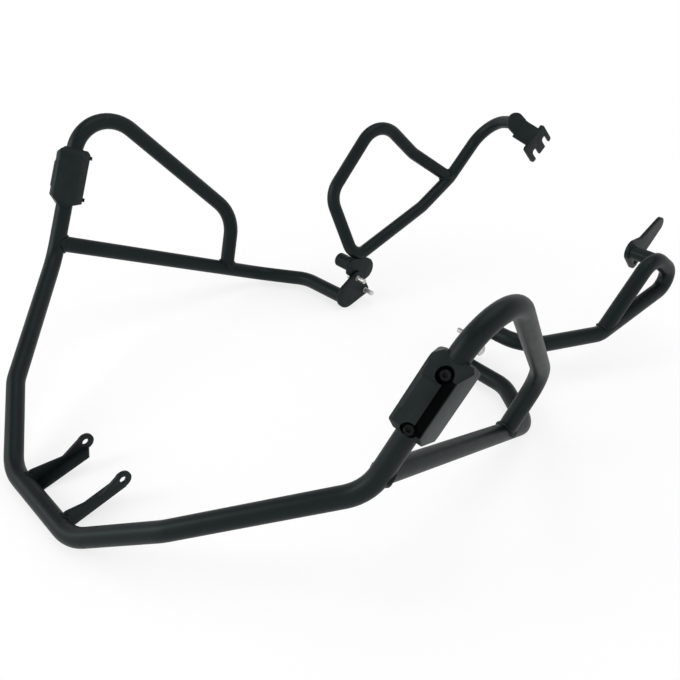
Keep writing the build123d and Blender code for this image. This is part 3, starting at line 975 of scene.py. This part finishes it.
@dataclass
class FlangeBolts:
    """Hexagon bolts through the flange plates, with a rolled thread that points at the machine.

    Sizes are in millimetres and angles in degrees. A bolt is made upright, with its tip at the origin. The
    flank, crest and root are shares of the thread's pitch.
    """

    drawing: Drawing
    slot: Slot = Slot.ZINC
    tip_x: float = 108.0
    tip_r: float = 3.6
    thread_l: float = 18.0
    thread_r: float = 4.98
    root_r: float = 4.10
    pitch: float = 1.5
    flank: float = 0.36
    crest: float = 0.16
    root: float = 0.12
    core_r: float = 4.15
    core_ease: float = 0.5
    shank_l: float = 12.0
    shank_r: float = 5.0
    shank_ease: float = 0.6
    ease_steps: int = 2
    head_h: float = 6.4
    head_af: float = 17.0
    head_top_r: float = 8.2
    head_chamfer: float = 30.0
    head_turn: float = 30.0
    rim: float = 1.6
    dish: float = 0.4
    facets: int = 36
    cone_facets: int = 72
    smooth_angle: float = 30.0

    def head_base(self) -> float:
        """The head's height above the tip."""
        return self.thread_l + self.shank_l

    def lathe(self, name: str, radius: float, low: float, ease: float) -> bpy.types.Object:
        """Makes a round length of the bolt, up to the head, with an eased lower rim.

        Args:
            name: The object's name.
            radius: Radius in millimetres.
            low: Lower end along the bolt.
            ease: Width of the rim's chamfer.

        Returns:
            The length, with its place in its mesh.
        """
        high = self.head_base()
        bpy.ops.object.select_all(action="DESELECT")
        bpy.ops.mesh.primitive_cylinder_add(
            vertices=self.facets,
            radius=radius * MM,
            depth=(high - low) * MM,
            location=(0.0, 0.0, (low + high) / 2 * MM),
        )
        piece = Bench.start(name)
        Bench.settle(piece)
        Bench.pick_nothing(piece)
        points = piece.data.vertices
        for edge in piece.data.edges:
            edge.select = all(points[index].co.z < (low + TOUCH) * MM for index in edge.vertices)
        bpy.ops.object.mode_set(mode="EDIT")
        bpy.ops.mesh.select_mode(type="EDGE")
        bpy.ops.mesh.bevel(offset=ease * MM, segments=self.ease_steps)
        Bench.close()
        return piece

    def thread(self) -> bpy.types.Object:
        """Winds one turn of the thread's outline up the bolt and tapers its tip.

        Returns:
            The thread, from the tip to the shank.
        """
        bpy.ops.object.select_all(action="DESELECT")
        bpy.ops.mesh.primitive_plane_add(size=MM, location=(self.root_r * MM, 0.0, 0.0))
        piece = Bench.start("thread")
        Bench.settle(piece)
        Bench.edit(piece)
        bpy.ops.mesh.merge(type="CENTER")
        rise = self.thread_r - self.root_r
        outline = ((rise, self.flank), (0.0, self.crest), (-rise, self.flank), (0.0, self.root))
        for out, share in outline:
            bpy.ops.mesh.extrude_vertices_move(
                TRANSFORM_OT_translate={"value": (out * MM, 0.0, share * self.pitch * MM)}
            )
        Bench.close()
        wind = piece.modifiers.new("wind", "SCREW")
        wind.screw_offset = self.pitch * MM
        wind.iterations = int(self.thread_l / self.pitch)
        wind.steps = self.facets
        wind.render_steps = self.facets
        wind.use_merge_vertices = True
        Bench.apply_all(piece)
        for vertex in piece.data.vertices:
            reach = math.hypot(vertex.co.x, vertex.co.y)
            limit = self.tip_r * MM + vertex.co.z
            if reach > limit:
                vertex.co.x *= limit / reach
                vertex.co.y *= limit / reach
        Bench.edit(piece)
        bpy.ops.mesh.normals_make_consistent(inside=False)
        Bench.close()
        return piece

    def head(self) -> bpy.types.Object:
        """Cuts a hexagon with a turned cone and dishes its top.

        Returns:
            The head, above the shank.
        """
        middle = (0.0, 0.0, (self.head_base() + self.head_h / 2) * MM)
        cone_spread = self.head_h / math.tan(math.radians(self.head_chamfer))
        bpy.ops.object.select_all(action="DESELECT")
        bpy.ops.mesh.primitive_cylinder_add(
            vertices=6,
            radius=self.head_af / math.sqrt(3.0) * MM,
            depth=self.head_h * MM,
            location=middle,
            rotation=(0.0, 0.0, math.radians(self.head_turn)),
        )
        head = Bench.start("head")
        Bench.settle(head)
        bpy.ops.object.select_all(action="DESELECT")
        bpy.ops.mesh.primitive_cone_add(
            vertices=self.cone_facets,
            radius1=(self.head_top_r + cone_spread) * MM,
            radius2=self.head_top_r * MM,
            depth=self.head_h * MM,
            location=middle,
        )
        cone = Bench.start("cone")
        Bench.settle(cone)
        turn = head.modifiers.new("turn", "BOOLEAN")
        turn.operation = "INTERSECT"
        turn.object = cone
        Bench.apply_all(head)
        bpy.data.objects.remove(cone)
        top = (self.head_base() + self.head_h - TOUCH) * MM
        Bench.pick_faces(head, lambda face: face.center.z > top)
        bpy.ops.mesh.inset(thickness=self.rim * MM, depth=-self.dish * MM)
        Bench.close()
        return head

    def bolt(self) -> bpy.types.Object:
        """Makes one upright bolt from its core, shank, thread and head.

        Returns:
            The bolt, with its tip at the origin.
        """
        core = self.lathe("core", self.core_r, 0.0, self.core_ease)
        shank = self.lathe("shank", self.shank_r, self.thread_l - self.shank_ease, self.shank_ease)
        bolt = Bench.join("bolt", [core, shank, self.thread(), self.head()])
        bpy.ops.object.shade_smooth_by_angle(angle=math.radians(self.smooth_angle))
        return bolt

    def build(self, material: bpy.types.Material) -> None:
        """Copies one bolt to its four places and lets the pairs stand for the nodes.

        Args:
            material: The plating.
        """
        bolt = self.bolt()
        for side in Side:
            pair = []
            for index, place in enumerate(self.drawing.bolts):
                twin = Bench.copy(bolt, f"bolt_{side.tag}_{index}")
                foot = Vector((side.value * self.tip_x, *place))
                Bench.stand(twin, row(foot), Vector((side.value, 0.0, 0.0)))
                pair.append(twin)
            piece = Bench.join(f"flange_bolts_{side.tag}_threaded", pair)
            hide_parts(f"flange_bolts_{side.tag}")
            Bench.finish_piece(piece, material, self.slot)
        bpy.data.objects.remove(bolt)


@dataclass(frozen=True)
class SoftBox:
    """A square lamp, with its place, aim and side in metres and its power in watts."""

    name: str
    place: Triple
    aim: Triple
    size: float
    power: float

    def hang(self) -> None:
        """Hangs the lamp in its place, facing its aim."""
        data = bpy.data.lights.new(self.name, "AREA")
        data.shape = "SQUARE"
        data.size = self.size
        data.energy = self.power
        lamp = bpy.data.objects.new(self.name, data)
        bpy.context.scene.collection.objects.link(lamp)
        lamp.location = self.place
        facing = Vector(self.aim) - Vector(self.place)
        lamp.rotation_euler = facing.to_track_quat("-Z", "Y").to_euler()


@dataclass
class Studio:
    """Pale floor, soft light and the camera.

    The eye is in millimetres of the drawing, and right, up and back are the camera's axes. The floor's sizes
    are in metres. The walls are white up to wall_top, and the ceiling is dark from ceiling_from, both given
    as the upward part of the direction looked in. The fill lights what no mirror or camera sees.
    """

    eye: Vector = Vector((772.97, -222.01, 704.9))
    right: Triple = (0.6746, 0.7380, 0.01663)
    up: Triple = (-0.4011, 0.34754, 0.84755)
    back: Triple = (0.61971, -0.57842, 0.53046)
    focal_px: float = 792.0
    frame_px: float = 680.0
    half_px: float = 0.5
    sensor_mm: float = 36.0
    sight: float = 100.0
    floor_size: float = 30.0
    floor_drop: float = 0.0004
    floor_tone: float = 0.86
    floor_rough: float = 0.9
    white_share: float = 0.70
    white_from: float = 0.40
    white_at: float = 0.90
    wall_top: float = 0.40
    ceiling_from: float = 0.75
    ceiling_level: float = 0.10
    fill: float = 1.8
    lamps: tuple[SoftBox, ...] = (
        SoftBox("overhead", (0.2, 0.3, 2.6), (0.1, 0.0, 0.0), 2.4, 30.0),
        SoftBox("front", (-1.2, -2.2, 1.5), (0.1, 0.0, 0.15), 1.2, 26.0),
    )

    def camera(self) -> None:
        """Sets the camera at the picture's viewing angle."""
        data = bpy.data.cameras.new("camera")
        data.sensor_width = self.sensor_mm
        data.lens = self.sensor_mm * self.focal_px / self.frame_px
        data.clip_end = self.sight
        camera = bpy.data.objects.new("camera", data)
        bpy.context.scene.collection.objects.link(camera)
        nudge = self.half_px / self.focal_px
        back = (Vector(self.back) + (Vector(self.right) - Vector(self.up)) * nudge).normalized()
        right = Vector(self.up).cross(back).normalized()
        axes = Matrix((right, back.cross(right), back)).transposed()
        camera.rotation_euler = axes.to_euler()
        camera.location = row(self.eye)
        bpy.context.scene.camera = camera

    def seen_plainly(self, tree: bpy.types.NodeTree) -> bpy.types.NodeSocket:
        """Gives 1 on rays that come from the camera, a mirror or glass.

        Args:
            tree: The node tree to add to.

        Returns:
            The value.
        """
        path = tree.nodes.new("ShaderNodeLightPath")
        value = path.outputs["Is Camera Ray"]
        for ray in ("Is Glossy Ray", "Is Transmission Ray"):
            most = tree.nodes.new("ShaderNodeMath")
            most.operation = "MAXIMUM"
            tree.links.new(value, most.inputs[0])
            tree.links.new(path.outputs[ray], most.inputs[1])
            value = most.outputs["Value"]
        return value

    def floor(self) -> None:
        """Lays the pale floor, which keeps a soft shadow near the bars and runs out to white."""
        bpy.ops.object.select_all(action="DESELECT")
        bpy.ops.mesh.primitive_plane_add(size=self.floor_size, location=(0.0, 0.0, -self.floor_drop))
        floor = Bench.start("floor")
        nodes = Nodes("pale_floor")
        nodes.set("Base Color", (self.floor_tone, self.floor_tone, self.floor_tone, 1.0))
        nodes.set("Roughness", self.floor_rough)
        nodes.set("Specular IOR Level", 0.0)
        far = nodes.add("ShaderNodeVectorMath", operation="LENGTH")
        nodes.link(nodes.place, far.inputs[0])
        reach = (self.white_from, self.white_at)
        white = map_range(nodes.tree, far.outputs["Value"], reach, (self.white_share, 1.0), smooth=True)
        share = nodes.add("ShaderNodeMath", operation="MULTIPLY")
        nodes.link(self.seen_plainly(nodes.tree), share.inputs[0])
        nodes.link(white, share.inputs[1])
        glow = nodes.add("ShaderNodeEmission")
        mix = nodes.add("ShaderNodeMixShader")
        nodes.link(share.outputs["Value"], mix.inputs["Fac"])
        nodes.link(nodes.shader.outputs["BSDF"], mix.inputs[1])
        nodes.link(glow.outputs["Emission"], mix.inputs[2])
        nodes.link(mix.outputs["Shader"], nodes.tree.nodes["Material Output"].inputs["Surface"])
        floor.data.materials.append(nodes.material)

    def light(self) -> None:
        """Hangs the lamps and sets the world's white walls, dark ceiling and even fill."""
        for lamp in self.lamps:
            lamp.hang()
        world = bpy.data.worlds.new("studio")
        world.use_nodes = True
        tree = world.node_tree
        sky = tree.nodes["Background"]
        way = tree.nodes.new("ShaderNodeTexCoord")
        height = tree.nodes.new("ShaderNodeSeparateXYZ")
        tree.links.new(way.outputs["Generated"], height.inputs["Vector"])
        rise = (self.wall_top, self.ceiling_from)
        walls = map_range(tree, height.outputs["Z"], rise, (1.0, self.ceiling_level), smooth=True)
        tree.links.new(walls, sky.inputs["Color"])
        level = map_range(tree, self.seen_plainly(tree), (0.0, 1.0), (self.fill, 1.0))
        tree.links.new(level, sky.inputs["Strength"])
        bpy.context.scene.world = world
        bpy.context.scene.view_settings.view_transform = "Standard"


def main() -> None:
    """Builds and dresses every piece, then the studio."""
    logging.basicConfig(level=logging.INFO, format="%(name)s %(message)s")
    paints = {
        Slot.COAT: PowderCoat().material(),
        Slot.PLASTIC: MouldedPlastic().material(),
        Slot.ZINC: ZincPlate().material(),
        Slot.BLACK_ZINC: BlackZinc().material(),
    }
    for name, node in frame["nodes"].items():
        node.data.materials.clear()
        node.data.materials.append(paints[slot_of(name)])
    drawing = Drawing()
    EasedParts().build(paints)
    Welds(drawing).build(paints[Slot.COAT])
    FlangeBolts(drawing).build(paints[Slot.ZINC])
    studio = Studio()
    studio.camera()
    studio.floor()
    studio.light()


if __name__ == "__main__":
    main()
